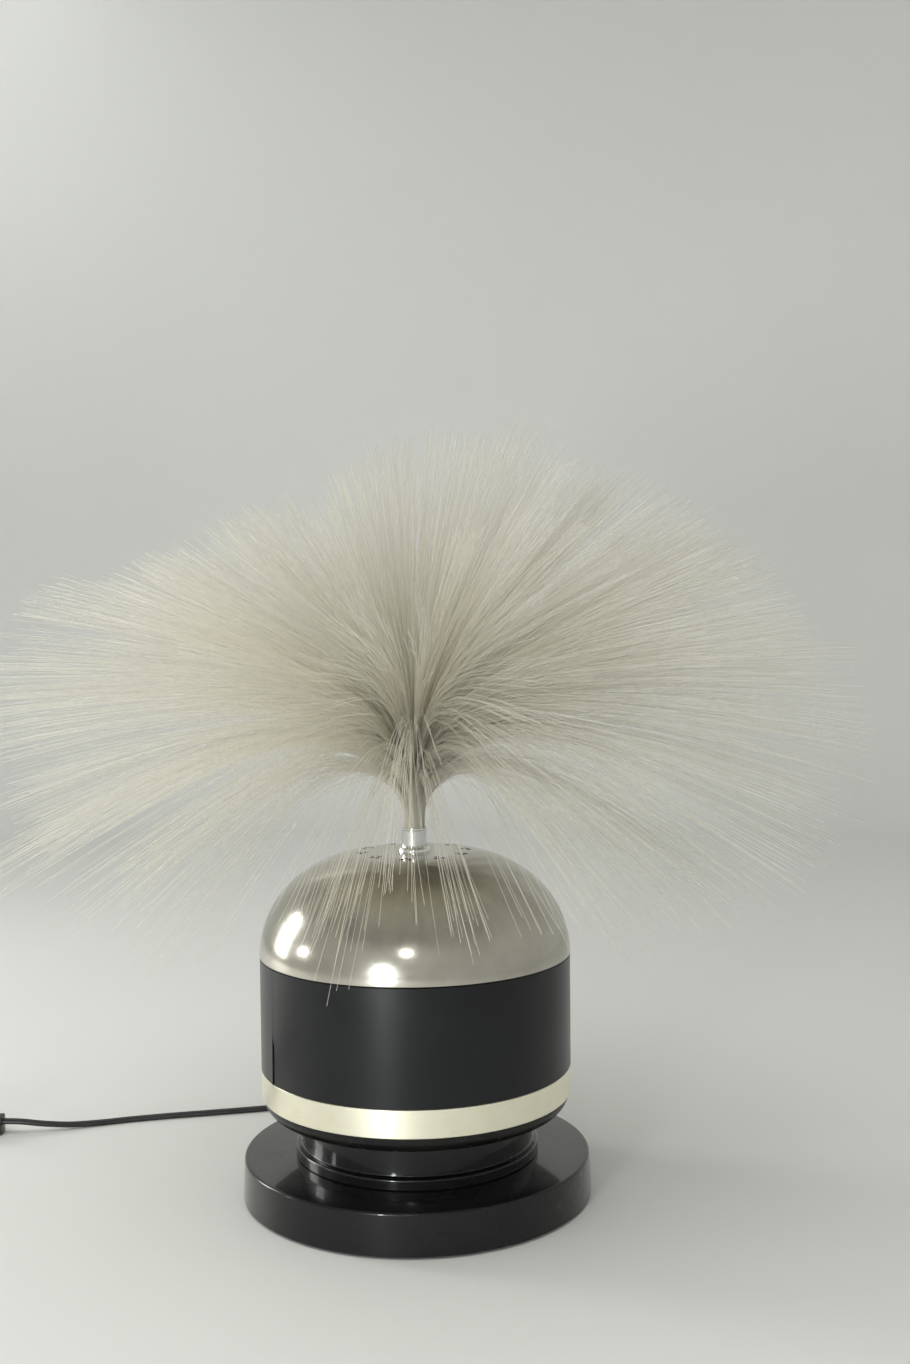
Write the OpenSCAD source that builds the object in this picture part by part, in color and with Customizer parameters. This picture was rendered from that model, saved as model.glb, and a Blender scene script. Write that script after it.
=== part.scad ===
// Fibre optic fountain lamp: a spray of fibres over a metal dome, a wrapped drum body and a disc base.
// Millimetres, +Z up. The origin is on the lamp's axis, on the surface that it stands on. The front faces -Y.

/* [Base and neck] */
// Radius of the base disc where it meets the table
base_r = 101; // [99:0.5:104]
// Height of the base disc's flat top
base_top = 24.5; // [23.5:0.5:25.5]
// Radius of the neck between base and body
neck_r = 66.9; // [66:0.1:68]
// Radius of the raised ring round the neck's foot
neck_ring_r = 70.4; // [69.5:0.1:72]
// Height of that ring
neck_ring_h = 6.4; // [5:0.2:6.6]

/* [Body] */
// Radius of the body over its black wrap
body_r = 90; // [89.5:0.1:91]
// Height of the body's underside
body_z = 50; // [49.5:0.1:50.5]
// Height of the gold band
band_h = 15.7; // [12:0.1:20]
// Height at which the dome meets the body
dome_z = 140; // [139:0.5:142]

/* [Dome and collar] */
// Rise of the dome from its rim to its flat crown
dome_rise = 58.5; // [57:0.5:60]
// Radius of the flat crown
crown_r = 26; // [24:1:28]
// Number of groups of vent holes round the crown
vent_groups = 10; // [6:1:12]
// Diameter of one vent hole
vent_d = 2.4; // [1.5:0.1:3]
// Outside diameter of the collar that holds the fibres
collar_d = 15; // [15:0.1:16]
// Height of the collar's rim above the table
collar_top = 211; // [208:0.5:214]

/* [Fibre spray] */
// Diameter of one tuft of fibres
tuft_d = 1.3; // [1:0.05:1.35]
// Rings of tufts round the middle one
tuft_rings = 4; // [2:1:4]
// Straight length of a tuft beyond its bend
tuft_tail = 208; // [180:2:220]

/* [Colour wheel] */
// Distance of the wheel's shaft from the lamp's axis
wheel_x = 32; // [31:0.5:33]
// Radius of the colour wheel
wheel_r = 41; // [38:0.5:42]

/* [Mains cord] */
// Width of the flat two-core cord
cord_w = 5.4; // [4.8:0.2:5.6]

/* [Hidden] */
$fn = 96;
eps = 0.01;

// Sheet and moulding thicknesses, and the play between nested pieces
moulding = 3;
sheet = 1;
play = 0.2;
hole_3mm = 1.7;
thread_3mm = 1.55;

// Base
skirt_z = 1.2;
edge_r = 1.6;
plate_z = 3;
plate_top = 5;
base_screw_at = 80;
foot_at = 82;

// Centre tube that clamps base, neck and body together
tube_r = 5;
tube_hole_r = 5.2;

// Body can under its wrap and band
can_r = body_r - 1.4;
can_round = 9.4;
can_floor = body_z + sheet;
band_z = body_z + can_round + 0.1;
band_top = band_z + band_h;
wrap_seam_angle = 207;
band_seam_angle = 200;
fixing_at = 55;
fixing_angles = [30, 150, 270];

// Chassis
chassis_z = 70;
chassis_top = 71.5;
chassis_r = 84;
shield_r = 19.6;
shield_top = 168;
shield_flange_r = 27.5;
shield_screw_angles = [60, 240];
shield_screw_at = 23.8;
motor_x = 48;
motor_z = 130;
motor_r = 25;
motor_ear_y = 29;
bracket_y = 34;
bracket_foot_y = 39.5;
block_x = -52;
block_h = 13;
wheel_z = 173;
hub_z = 168.5;

// Bulb
bulb_seat = 82;
bulb_glass_r = 12.5;
bulb_top = 160.5;

// Collar and fibre bundle
collar_bore = collar_d / 2 - 0.7;
tuft_pitch = tuft_d * 1.09;
bundle_z = 185;
crown_z = dome_z + dome_rise;

// Cord exit, switch, coil and plug, all on the cord
exit_z = 38.5;
exit_y = 95;
cord_r = cord_w / 2;
switch_at = [-304, 108];
switch_len = 60;
switch_w = 26;
nose = 4;
switch_split = 7.5;
switch_top = 16;
rocker_z = 13;
cord_in_z = 8.2;
coil_at = [-376, 73];
coil_r = 37;
coil_hole_r = 21.4;
coil_z = 0.9;
coil_h = 11;
coil_out_z = 9.1;
plug_at = [-411, 33];
plug_h = 13.7;
pin_gap = 18.6;

// Route of the cord from the neck to the switch, over the edge of the base
near_route = [
  [0, exit_y, exit_z], [0, 103, 38.3], [-1, 112, 36.4], [-4, 121, 32.3], [-10, 130, 26.3], [-18.5, 138, 19.2],
  [-30, 144.5, 12], [-44, 149, 6.6], [-60, 150.5, 3.6], [-80, 148, 2.8], [-101, 144, 2.8], [-124, 139.5, 2.8],
  [-146, 135.5, 2.8], [-168, 131.5, 2.8], [-190, 126.5, 2.8], [-210, 120.5, 2.8], [-228, 114.5, 3.2],
  [-244, 110.2, 5.2], [-258, 108.3, 7.4], [-270, 108, cord_in_z]
];
// Route from the switch to the coil, and from the coil to the plug
far_route = [[-338, 108, cord_in_z], [-347, 108, 7.6], [-357, 108, 6], [-367, 108, 4.4], [-376, 110, 3.6]];
plug_route = [[-413.1, 73, coil_out_z], [-412.5, 62, 9], [-411.5, 52, 8.2], [-411, 42, 7.1], [-411, 33, 6.85]];
// Route of the cord inside the neck and the body, up to the terminal block
inner_route = [
  [0, 60, exit_z], [0, 53, 39], [0, 46, 42.5], [0, 41, 49], [-1, 38, 57], [-4, 35.5, 65], [-9, 33, 71.5],
  [-16, 30, 75.5], [-25, 26, 77.3], [-34, 20.5, 78], [-40.5, 16.6, 78], [-45.4, 12.4, 78], [-46, 8.15, 78]
];
lamp_lead_route = [[-40, 0, 78], [-35, 0, 78.5], [-30, 0, 82], [-26, 0, 87], [-21, 0, 91], [-14.1, 0, 92]];
motor_lead_route = [
  [-55, -8, 78], [-55, -14, 78], [-48, -24, 79], [-34, -33, 82], [-14, -38, 90], [4, -35, 101], [14, -29, 113],
  [18, -23, 125], [21, -19, 133], [27, -15.5, 138]
];

// ---------- Shared shapes ----------

module disc(r, z0, z1) {
  translate([0, 0, z0]) cylinder(h = z1 - z0, r = r);
}

module ring(r_out, r_in, z0, z1) {
  difference() {
    disc(r_out, z0, z1);
    disc(r_in, z0 - 1, z1 + 1);
  }
}

module at_angles(angles, radius) {
  for (a = angles) rotate(a) translate([radius, 0, 0]) children();
}

module hex_nut(across_flats, bore_r, z0, z1) {
  difference() {
    translate([0, 0, z0]) cylinder(h = z1 - z0, d = across_flats / cos(30), $fn = 6);
    disc(bore_r, z0 - 1, z1 + 1);
  }
}

// A pan head screw whose head sits on seat_z, with its shank down to tip_z
module screw(seat_z, tip_z, shank_r = 1.5, head_r = 2.8, head_h = 2.2) {
  disc(shank_r, tip_z, seat_z + eps);
  disc(head_r, seat_z, seat_z + head_h);
}

// A flat-ended shape of the given length and width, with round ends, along X
module stadium(len, w, z0, z1) {
  translate([-(len - w) / 2, -w / 2, z0]) cube([len - w, w, z1 - z0]);
  for (s = [-1, 1]) translate([s * (len - w) / 2, 0, 0]) disc(w / 2, z0, z1);
}

// ---------- Tubes swept along a route ----------

function unit(v) = v / norm(v);
function last(p) = len(p) - 1;
function tangents(p) = [for (i = [0:last(p)]) unit(p[min(i + 1, last(p))] - p[max(i - 1, 0)])];
function across(t, n) = unit(n - (n * t) * t);
// Sideways directions that turn as little as possible from one ring to the next
function sides(t, n, i = 0) =
  i > last(t) ? [] : let (s = across(t[i], n)) concat([s], sides(t, s, i + 1));
function tube_points(p, r0, r1, n, first_side) =
  let (t = tangents(p), s = sides(t, first_side))
  [for (i = [0:last(p)]) let (u = s[i], v = cross(t[i], s[i]), r = r0 + (r1 - r0) * i / last(p))
    for (k = [0:n - 1]) p[i] + r * (cos(360 * k / n) * u + sin(360 * k / n) * v)];
function tube_faces(rings, n, first = 0) = concat(
  [[for (k = [0:n - 1]) first + k]],
  [for (i = [0:rings - 2]) for (k = [0:n - 1]) let (j = (k + 1) % n)
    [first + i * n + k, first + (i + 1) * n + k, first + (i + 1) * n + j, first + i * n + j]],
  [[for (k = [n - 1:-1:0]) first + (rings - 1) * n + k]]
);
// A smooth curve through the route's points
function curve_at(a, b, c, d, u) =
  0.5 * (2 * b + (c - a) * u + (2 * a - 5 * b + 4 * c - d) * u * u + (3 * b - a - 3 * c + d) * u * u * u);
function smooth(p, steps) = concat(
  [for (i = [0:last(p) - 1]) for (k = [0:steps - 1])
    curve_at(p[max(i - 1, 0)], p[i], p[i + 1], p[min(i + 2, last(p))], k / steps)],
  [p[last(p)]]
);

module tube(route, r, steps, n, first_side = [0, 0, 1]) {
  path = smooth(route, steps);
  polyhedron(points = tube_points(path, r, r, n, first_side), faces = tube_faces(len(path), n), convexity = 6);
}

function shifted(route, v) = [for (q = route) q + v];

// ---------- Base and neck ----------

module base_disc() {
  shoulder = base_r - 0.8 - edge_r;
  inner = base_r - 6.5;
  seat = base_r - 3.6;
  profile = concat(
    [[seat, skirt_z], [base_r, skirt_z]],
    [for (a = [0:15:90]) [shoulder + edge_r * cos(a), base_top - edge_r + edge_r * sin(a)]],
    [[0, base_top], [0, base_top - moulding], [inner, base_top - moulding], [inner, plate_top], [seat, plate_top]]
  );
  color("#1c1d1f") difference() {
    union() {
      rotate_extrude($fn = 180) polygon(profile);
      at_angles([0, 120, 240], base_screw_at) disc(5, plate_top, base_top - moulding + 0.5);
    }
    disc(tube_hole_r, 0, base_top + 1);
    at_angles([0, 120, 240], base_screw_at) disc(1.45, 0, 16);
  }
}

module base_plate() {
  color("#8d9094") difference() {
    disc(base_r - 3.8, plate_z, plate_top);
    at_angles([0, 120, 240], base_screw_at) disc(hole_3mm, 0, 10);
    at_angles([45, 135, 225, 315], foot_at) disc(2.5, 0, 10);
  }
}

module base_screws() {
  color("#c9ccd0") at_angles([0, 120, 240], base_screw_at)
    translate([0, 0, plate_z]) rotate([180, 0, 0]) screw(0, -11, 1.4, 2.75, 1.8);
}

module rubber_feet() {
  foot = [[0, 0], [7.4, 0], [8, 0.6], [7.6, plate_z], [2.45, plate_z], [2.45, plate_top], [3.4, plate_top],
    [2.2, plate_top + 2.4], [0, plate_top + 2.4]];
  color("#2a2a2b") at_angles([45, 135, 225, 315], foot_at) rotate_extrude() polygon(foot);
}

module neck() {
  ring_top = base_top + neck_ring_h;
  inner = neck_r - moulding;
  profile = [[inner, base_top], [neck_ring_r, base_top], [neck_ring_r, ring_top - 0.8], [neck_ring_r - 0.8, ring_top],
    [neck_r, ring_top], [neck_r, body_z], [0, body_z], [0, body_z - moulding], [inner, body_z - moulding]];
  color("#18191b") difference() {
    rotate_extrude($fn = 180) polygon(profile);
    disc(tube_hole_r, 0, body_z + 1);
    at_angles(fixing_angles, fixing_at) disc(hole_3mm, 0, body_z + 1);
    translate([0, 41, 0]) disc(5.5, body_z - 10, body_z + 1);
    translate([0, 55, exit_z]) rotate([-90, 0, 0]) cylinder(h = 20, r = 5.05);
  }
}

module centre_tube() {
  color("#b58b45") ring(tube_r, 3.5, 12, 60);
}

module tube_washers() {
  color("#b9bcc0") {
    ring(12, tube_hole_r, base_top - moulding - 1.2, base_top - moulding);
    ring(12, tube_hole_r, can_floor, can_floor + 1.2);
  }
}

module tube_nuts() {
  color("#b9bcc0") {
    hex_nut(17, tube_r + 0.05, base_top - moulding - 7.2, base_top - moulding - 1.2);
    hex_nut(17, tube_r + 0.05, can_floor + 1.2, can_floor + 6.2);
  }
}

// ---------- Body ----------

module body_can() {
  turn_r = can_r - can_round;
  turn_z = body_z + can_round;
  profile = concat(
    [[0, body_z]],
    [for (a = [-90:10:0]) [turn_r + can_round * cos(a), turn_z + can_round * sin(a)]],
    [[can_r, dome_z - 0.1], [can_r - sheet, dome_z - 0.1]],
    [for (a = [0:-10:-90]) [turn_r + (can_round - sheet) * cos(a), turn_z + (can_round - sheet) * sin(a)]],
    [[0, can_floor]]
  );
  color("#2b2928") difference() {
    rotate_extrude($fn = 180) polygon(profile);
    disc(tube_hole_r, 0, 60);
    at_angles(fixing_angles, fixing_at) disc(hole_3mm, 0, 60);
    translate([0, 41, 0]) disc(5.5, body_z - 1, 60);
  }
}

// A sheet bent round the can, open at its seam
module sheet_ring(r_out, z0, z1, seam_angle, seam_w) {
  difference() {
    ring(r_out, can_r + 0.1, z0, z1);
    rotate(seam_angle) translate([can_r - 2, -seam_w / 2, z0 - 1]) cube([6, seam_w, z1 - z0 + 2]);
  }
}

module body_wrap() {
  color("#222426") sheet_ring(body_r, band_top + 0.1, dome_z - 0.3, wrap_seam_angle, 0.6);
}

module gold_band() {
  color("#cfcaa0") sheet_ring(body_r - 0.4, band_z, band_top, band_seam_angle, 0.4);
}

// ---------- Chassis ----------

module chassis_plate() {
  color("#a9adb2") difference() {
    disc(chassis_r, chassis_z, chassis_top);
    disc(tube_hole_r, 0, 90);
    at_angles(fixing_angles, fixing_at) disc(hole_3mm, 0, 90);
    at_angles(shield_screw_angles, shield_screw_at) disc(thread_3mm, 0, 90);
    for (s = [-1, 1]) translate([motor_x, s * bracket_foot_y, 0]) disc(thread_3mm, 0, 90);
    clamp_frame() translate([0, -13, 0]) disc(thread_3mm, 0, 90);
    translate([-8.2, 33.2, 0]) disc(7, 0, 90);
  }
}

module chassis_spacers() {
  color("#c9ccd0") at_angles(fixing_angles, fixing_at) ring(5, hole_3mm, can_floor, chassis_z);
}

module chassis_screws() {
  color("#c9ccd0") at_angles(fixing_angles, fixing_at) screw(chassis_top, body_z - 6);
}

module chassis_nuts() {
  color("#b9bcc0") at_angles(fixing_angles, fixing_at)
    hex_nut(5.5, thread_3mm, body_z - moulding - 2.4, body_z - moulding);
}

module lampholder() {
  color("#26221f") difference() {
    union() {
      disc(14, chassis_top, 108);
      disc(15.5, 108, 112);
    }
    disc(8.4, bulb_seat, 113);
    disc(tube_r + 0.05, 0, bulb_seat - 2);
  }
}

module holder_nipple() {
  color("#b58b45") ring(tube_r, 3.6, 65, bulb_seat - 2.1);
}

module holder_nut() {
  color("#b9bcc0") hex_nut(14, tube_r + 0.05, chassis_z - 3, chassis_z);
}

module bulb_cap() {
  z0 = bulb_seat + 4.5;
  thread = [for (i = [0:12]) [6.6 + 0.35 * (i % 2), z0 + 0.5 + i * 1.4]];
  color("#c8a864") rotate_extrude() polygon(concat(
    [[0, bulb_seat], [2.4, bulb_seat], [2.4, z0 - 2], [5.4, z0 - 1.4]], thread,
    [[6.6, 106], [6.1, 106], [6.1, z0], [0, z0]]
  ));
}

function glass_outline(wall) = let (r = bulb_glass_r - wall, top = bulb_top - bulb_glass_r) concat(
  [[6 - wall, 100], [6 - wall, 107]],
  [for (u = [0.1:0.1:1]) [6 - wall + (r - 6 + wall) * (1 - cos(180 * u)) / 2, 107 + 15 * u]],
  [for (a = [0:7.5:90]) [r * cos(a), top + r * sin(a)]]
);

module bulb_glass() {
  inner = glass_outline(0.8);
  color("#e8edf0", 0.5) rotate_extrude()
    polygon(concat(glass_outline(0), [for (i = [last(inner):-1:0]) inner[i]]));
}

module bulb_filament() {
  color("#7d7f84") {
    for (s = [-1, 1]) translate([s * 3, 0, 0]) disc(0.3, bulb_seat + 4.5, 134, $fn = 16);
    translate([-3.3, 0, 133.7]) rotate([0, 90, 0]) cylinder(h = 6.6, r = 0.25, $fn = 16);
  }
}

module light_shield() {
  bore = shield_r - 0.6;
  profile = [[bore, chassis_top], [shield_flange_r, chassis_top], [shield_flange_r, chassis_top + 0.8],
    [shield_r, chassis_top + 0.8], [shield_r, shield_top], [bore, shield_top]];
  color("#b4b8bc") difference() {
    rotate_extrude() polygon(profile);
    at_angles(shield_screw_angles, shield_screw_at) disc(hole_3mm, 0, 90);
    for (a = [90, 180, 270]) rotate(a) translate([15, 0, 92]) rotate([0, 90, 0]) cylinder(h = 8, r = 8);
  }
}

module motor_bracket() {
  color("#a9adb2") difference() {
    union() {
      translate([motor_x - 23, -bracket_y, motor_z - 1.5]) cube([46, 2 * bracket_y, 1.5]);
      for (s = [-1, 1]) scale([1, s, 1]) {
        translate([motor_x - 10, bracket_y - 1.5, chassis_top]) cube([20, 1.5, motor_z - chassis_top - 0.5]);
        translate([motor_x - 10, bracket_y - 1.5, chassis_top]) cube([20, 12, 1.5]);
      }
    }
    for (s = [-1, 1]) {
      translate([motor_x, s * motor_ear_y, 0]) disc(thread_3mm, motor_z - 5, motor_z + 1);
      translate([motor_x, s * bracket_foot_y, 0]) disc(hole_3mm, 60, 80);
    }
  }
}

// The screws that hold the shield, the bracket and the cord clamp down on the chassis plate
module panel_screws() {
  color("#c9ccd0") {
    at_angles(shield_screw_angles, shield_screw_at) screw(chassis_top + 0.8, chassis_top - 5);
    for (s = [-1, 1]) translate([motor_x, s * bracket_foot_y, 0]) screw(chassis_top + 1.5, chassis_top - 4.3);
    clamp_frame() translate([0, -13, 0]) screw(chassis_top + 1.5, chassis_top - 4.3);
  }
}

module motor_case() {
  color("#9fa3a8") translate([motor_x, 0, 0]) difference() {
    union() {
      disc(motor_r, motor_z, motor_z + 17);
      for (s = [-1, 1]) {
        translate([0, s * motor_ear_y, 0]) disc(4.5, motor_z, motor_z + 1.2);
        translate([-4.5, s > 0 ? 20 : -motor_ear_y, motor_z]) cube([9, motor_ear_y - 20, 1.2]);
      }
    }
    disc(motor_r - 0.8, motor_z + 0.8, motor_z + 18);
    for (s = [-1, 1]) translate([0, s * motor_ear_y, 0]) disc(hole_3mm, motor_z - 1, motor_z + 2);
  }
}

module motor_cover() {
  color("#b9bcc0") difference() {
    translate([motor_x, 0, 0]) disc(motor_r, motor_z + 17, motor_z + 18.5);
    translate([wheel_x, 0, 0]) disc(5.05, motor_z, motor_z + 20);
  }
}

module output_bush() {
  color("#b58b45") translate([wheel_x, 0, 0]) difference() {
    union() {
      disc(5, motor_z + 15, motor_z + 22);
      disc(7, motor_z + 18.5, motor_z + 19.7);
    }
    disc(2.05, motor_z, motor_z + 30);
  }
}

module motor_screws() {
  color("#c9ccd0") for (s = [-1, 1])
    translate([motor_x, s * motor_ear_y, 0]) screw(motor_z + 1.2, motor_z - 7);
}

// ---------- Colour wheel ----------

module drive_shaft() {
  color("#d5d8db") translate([wheel_x, 0, 0]) disc(2, motor_z + 4, hub_z + 10);
}

module wheel_spider() {
  color("#3a3c3f") translate([wheel_x, 0, 0]) difference() {
    union() {
      disc(8, hub_z, hub_z + 9.5);
      ring(12, 7, wheel_z, wheel_z + 1);
      ring(wheel_r, wheel_r - 2.4, wheel_z, wheel_z + 1);
      for (a = [0:90:270]) rotate(a) translate([7, -1.5, wheel_z]) cube([wheel_r - 8.2, 3, 1]);
    }
    disc(2.02, hub_z - 1, hub_z + 12);
    translate([0, 0, hub_z + 2.2]) rotate([0, 90, 0]) cylinder(h = 12, r = 1.25);
  }
}

module hub_screw() {
  color("#c9ccd0") translate([wheel_x + 2.05, 0, hub_z + 2.2]) rotate([0, 90, 0]) cylinder(h = 6.4, r = 1.2);
}

// One quarter of the ring of coloured film that lies on the spider
module filter(quarter, tint) {
  color(tint, 0.7) translate([wheel_x, 0, wheel_z + 1]) rotate(90 * quarter + 0.5)
    rotate_extrude(angle = 89) translate([10.5, 0]) square([wheel_r - 11.5, 0.4]);
}

module filter_red() filter(0, "#d8232a");
module filter_amber() filter(1, "#f0a020");
module filter_green() filter(2, "#2f9e4f");
module filter_blue() filter(3, "#2a56c8");

// ---------- Wiring ----------

module terminal_block() {
  color("#e6e2d6") difference() {
    translate([block_x - 12, -8, chassis_top]) cube([24, 16, block_h]);
    for (x = [-7, 0, 7], y = [-4.5, 4.5]) translate([block_x + x, y, 0]) disc(1.9, chassis_top + 9, 100);
  }
}

module terminal_screws() {
  color("#c8a864") for (x = [-7, 0, 7], y = [-4.5, 4.5])
    translate([block_x + x, y, 0]) disc(1.7, chassis_top + 9, chassis_top + 12.5);
}

module lamp_leads() {
  color("#4a6ea8") for (y = [-3, 3]) tube(shifted(lamp_lead_route, [0, y, 0]), 1.1, 2, 6, [0, 1, 0]);
}

module motor_leads() {
  color("#7a5540") for (x = [0, 4]) tube(shifted(motor_lead_route, [0, 0, x]), 0.9, 2, 6);
}

module inner_lead() {
  color("#202122") tube(inner_route, cord_r, 2, 8, [1, 0, 0]);
}

// The frame of the clamp that holds the cord down on the chassis plate, turned across the cord
module clamp_frame() {
  translate([-29.5, 23.4, 0]) rotate(212) children();
}

module cord_clamp() {
  color("#e6e2d6") clamp_frame() difference() {
    union() {
      translate([-4, -7, chassis_top]) cube([8, 14, 10.5]);
      translate([-4, -17, chassis_top]) cube([8, 20, 1.5]);
    }
    translate([-10, 0, 77.7]) rotate([0, 90, 0]) cylinder(h = 20, r = cord_r + 0.5);
    translate([-10, -cord_r - 0.5, chassis_top - 1]) cube([20, 2 * cord_r + 1, 7.2]);
    translate([0, -13, 0]) disc(hole_3mm, 60, 80);
  }
}

// ---------- Dome, collar and fibres ----------

module vent_group() {
  translate([31.8, 2.2, 0]) disc(vent_d / 2, crown_z - 8, crown_z + 2);
  translate([31.8, -2.2, 0]) disc(vent_d / 2, crown_z - 8, crown_z + 2);
  translate([27.9, 0, 0]) disc(vent_d / 2, crown_z - 8, crown_z + 2);
}

module dome() {
  wall = 1.2;
  reach = body_r - crown_r;
  lip_r = can_r - sheet - play;
  profile = concat(
    [for (a = [0:5:90]) [crown_r + reach * cos(a), dome_z + dome_rise * sin(a)]],
    [[0, crown_z], [0, crown_z - wall]],
    [for (a = [90:-5:5]) [crown_r + (reach - wall) * cos(a), dome_z + (dome_rise - wall) * sin(a)]],
    [[body_r - wall - 0.1, dome_z + 2], [lip_r - sheet, dome_z + 2], [lip_r - sheet, dome_z - 7],
      [lip_r, dome_z - 7], [lip_r, dome_z]]
  );
  color("#a8a496") difference() {
    rotate_extrude($fn = 180) polygon(profile);
    disc(collar_d / 2 + 0.1, crown_z - 5, crown_z + 5);
    for (i = [0:vent_groups - 1]) rotate(-99 + 360 * i / vent_groups) vent_group();
  }
}

module collar() {
  color("#d9dbde") difference() {
    union() {
      disc(collar_d / 2, 187, collar_top);
      disc(collar_d / 2 + 2, crown_z, crown_z + 1.8);
    }
    disc(collar_bore, 180, collar_top + 1);
  }
}

module collar_nut() {
  color("#b9bcc0") hex_nut(21, collar_d / 2 + 0.05, crown_z - 5.2, crown_z - 1.2);
}

module bundle_sleeve() {
  color("#c8a864") difference() {
    union() {
      disc(collar_bore - 0.08, bundle_z, collar_top + 1);
      disc(collar_d / 2 - 0.1, collar_top + 0.1, collar_top + 1.1);
    }
    disc(collar_bore - 0.3, bundle_z - 1, collar_top + 2);
  }
}

// A tuft leaves the bundle upwards, turns outwards through an arc and runs on straight, with a slight droop
function tuft_path(r0, turn, bend_z, bend_r, tail) =
  let (arc_end = [r0 + bend_r * (1 - cos(turn)), bend_z + bend_r * sin(turn)], way = [sin(turn), cos(turn)])
  concat(
    [[r0, 0, bundle_z], [r0, 0, bend_z]],
    [for (i = [1:5]) let (a = turn * i / 5) [r0 + bend_r * (1 - cos(a)), 0, bend_z + bend_r * sin(a)]],
    [for (u = [0.35, 0.7, 1]) let (q = arc_end + way * tail * u) [q[0], 0, q[1] - 8 * sin(turn) * u * u]]
  );
function turned(p, a) = [for (q = p) [q[0] * cos(a) - q[1] * sin(a), q[0] * sin(a) + q[1] * cos(a), q[2]]];

// Turn of each ring of tufts; the outer ring alternates between a level tuft and a drooping one
ring_turns = [3, 26, 50, 76];
function tuft(ring, j) =
  ring < 4 ? tuft_path(tuft_pitch * ring, ring_turns[ring], 226, 40, tuft_tail + [4, 2, 6, 24][ring])
  : j % 2 == 0 ? tuft_path(tuft_pitch * ring, 136, 219, 31, tuft_tail - 56)
  : tuft_path(tuft_pitch * ring, 104, 222, 33, tuft_tail + 16);

module fibre_spray() {
  n = 5;
  tufts = concat([tuft(0, 0)], [for (ring = [1:tuft_rings]) for (j = [0:6 * ring - 1])
    turned(tuft(ring, j), 360 * (j + 0.37 * ring) / (6 * ring))]);
  points = [for (i = [0:last(tufts)])
    each tube_points(tufts[i], tuft_d / 2, tuft_d * 0.35, n, cross(tufts[i][9] - tufts[i][0] + [0, 0.001, 0], [0, 0, 1]))];
  faces = [for (i = [0:last(tufts)]) each tube_faces(10, n, i * 10 * n)];
  color("#e4e0cf") polyhedron(points = points, faces = faces, convexity = 20);
}

// ---------- Cord and what is on it ----------

module cord_bush() {
  profile = [[0, 59], [7, 59], [7, 63], [5, 63], [5, 67.6], [6.4, 67.6], [6.4, 70], [5.2, 71.5], [3.6, exit_y],
    [0, exit_y]];
  color("#1d1e1f") difference() {
    translate([0, 0, exit_z]) rotate([-90, 0, 0]) rotate_extrude() polygon(profile);
    translate([0, 58, exit_z]) rotate([-90, 0, 0]) cylinder(h = 2, r = 4);
    for (y = [75:5:90]) for (s = [-1, 1])
      translate([-6, y, exit_z + s * 4.6 - 1.2]) cube([12, 1.6, 2.4]);
  }
}

module cord_to_switch() {
  color("#202122") tube(near_route, cord_r, 2, 8);
}

module switch_shell(z0, z1) {
  translate([switch_at[0], switch_at[1], 0]) {
    stadium(switch_len, switch_w, z0, z1);
    translate([-switch_len / 2 - nose, -5, z0]) cube([switch_len + 2 * nose, 10, min(z1, 12) - z0]);
  }
}

module switch_hollow(z0, z1) {
  translate([switch_at[0], switch_at[1], 0]) stadium(switch_len - 5, switch_w - 5, z0, z1);
}

module at_switch_screws() {
  for (s = [-1, 1]) translate([switch_at[0] + s * 20.5, switch_at[1], 0]) children();
}

module switch_base() {
  color("#1d1e20") difference() {
    union() {
      difference() {
        switch_shell(0, switch_split);
        switch_hollow(2, 20);
      }
      at_switch_screws() disc(4, 1, switch_split);
    }
    at_switch_screws() {
      disc(1.6, -1, 20);
      disc(2.7, -1, 3);
    }
  }
}

module switch_cover() {
  color("#1d1e20") difference() {
    union() {
      difference() {
        switch_shell(switch_split, switch_top);
        switch_hollow(switch_split - 1, switch_top - 2);
      }
      at_switch_screws() disc(3.4, switch_split, switch_top - 1);
      for (s = [-1, 1]) translate([switch_at[0] - 3, switch_at[1] + s * 7 - 1.3, 10.6]) cube([6, 2.6, 4.4]);
    }
    translate([switch_at[0] - 11.2, switch_at[1] - 5.4, switch_split]) cube([22.4, 10.8, 20]);
    at_switch_screws() disc(1.25, 0, 13);
    translate([switch_at[0], switch_at[1] - 8.4, rocker_z]) rotate([-90, 0, 0]) cylinder(h = 16.8, r = 1);
  }
}

// The rocker lies pressed down at its +X end and tips to the other end
module switch_rocker() {
  profile = [[-10, 1], [-10, 5.2], [-5, 4.1], [0, 3.7], [5, 4.1], [10, 5.2], [10, 1], [3, -2.2], [-3, -2.2]];
  color("#2b2c2e") translate([switch_at[0], switch_at[1], rocker_z]) rotate([0, 8, 0]) difference() {
    translate([0, 5, 0]) rotate([90, 0, 0]) linear_extrude(10) polygon(profile);
    translate([0, -6, 0]) rotate([-90, 0, 0]) cylinder(h = 12, r = 1.05);
  }
}

module rocker_pin() {
  color("#c9ccd0") translate([switch_at[0], switch_at[1] - 8, rocker_z]) rotate([-90, 0, 0])
    cylinder(h = 16, r = 0.98);
}

module switch_screws() {
  color("#c9ccd0") at_switch_screws() translate([0, 0, 3]) rotate([180, 0, 0]) screw(0, -9, 1.2, 2.4, 1.6);
}

module cord_to_coil() {
  color("#202122") tube(far_route, cord_r, 2, 8);
}

// The outer shape of the coil that the spare cord is wound into
module cord_coil() {
  color("#202122") translate([coil_at[0], coil_at[1], 0]) rotate_extrude()
    translate([coil_hole_r, coil_z]) square([coil_r - coil_hole_r, coil_h]);
}

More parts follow.
